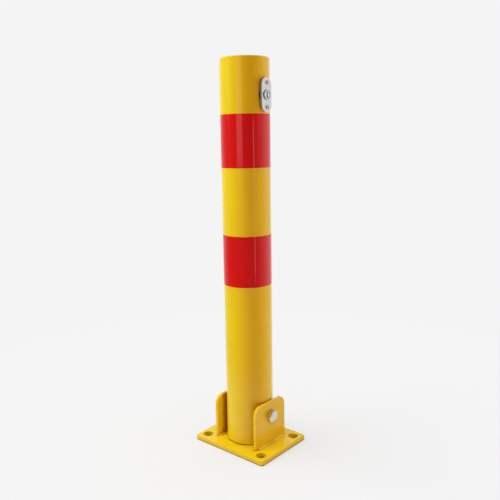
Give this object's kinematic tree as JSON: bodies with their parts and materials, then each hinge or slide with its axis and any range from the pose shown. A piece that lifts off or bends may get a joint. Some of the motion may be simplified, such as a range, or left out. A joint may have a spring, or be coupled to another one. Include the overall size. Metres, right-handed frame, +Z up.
{
  "type": "parking post",
  "caption": "Fold-down round parking post on a bolt-down base plate, hinged between two ears and locked upright by a key-operated rod.",
  "frame": {"origin": "centre of the base plate's underside", "axes": "+Z up along the upright post, +X along the hinge bolt towards its head and the key lock, +Y the way the post folds"},
  "size_m": [0.143, 0.113, 0.615],
  "materials": {
    "yellow_paint": "glossy",
    "red_film": "glossy",
    "zinc": "bright zinc",
    "chrome": "satin chrome",
    "bare_steel": "drawn steel",
    "spring_steel": "oiled",
    "brass": "turned",
    "rubber": "matt"
  },
  "bodies": {
    "base": {"base_plate": "yellow_paint", "ear_right": "yellow_paint", "ear_left": "yellow_paint", "ear_weld_right": "yellow_paint", "ear_weld_left": "yellow_paint", "hinge_bolt": "zinc", "hinge_washer": "zinc", "hinge_nut": "zinc"},
    "post": {"post_tube": "yellow_paint", "top_cap": "yellow_paint", "band_lower": "red_film", "band_upper": "red_film", "pivot_sleeve": "bare_steel", "rod_guide_lower": "bare_steel", "rod_guide_upper": "bare_steel", "rod_spring": "spring_steel", "lock_seal": "rubber", "lock_plate": "chrome", "lock_screws": "chrome", "lock_housing": "brass"},
    "rod": {"lock_rod": "bare_steel", "spring_collar": "zinc", "collar_pin": "spring_steel", "rod_yoke": "zinc"},
    "plug": {"key_plug": "chrome", "lock_cam": "zinc", "cam_pin": "zinc", "cam_screw": "zinc"}
  },
  "joints": [
    {"name": "post_fold", "type": "hinge", "parent": "base", "child": "post", "pos_m": [0, 0, 0.0546], "axis": [-1, 0, 0], "range_deg": [0, 91.7]},
    {"name": "rod_slide", "type": "slide", "parent": "post", "child": "rod", "axis": [0, 0, -1], "range_m": [0, 0.00919], "deforming": ["rod_spring"]},
    {"name": "key_turn", "type": "hinge", "parent": "post", "child": "plug", "pos_m": [0.0425, 0, 0.5592], "axis": [1, 0, 0], "range_deg": [0, 90]}
  ],
  "couplings": [
    {"joint": "key_turn", "follows": "rod_slide", "rad_per_m": 170.8}
  ]
}
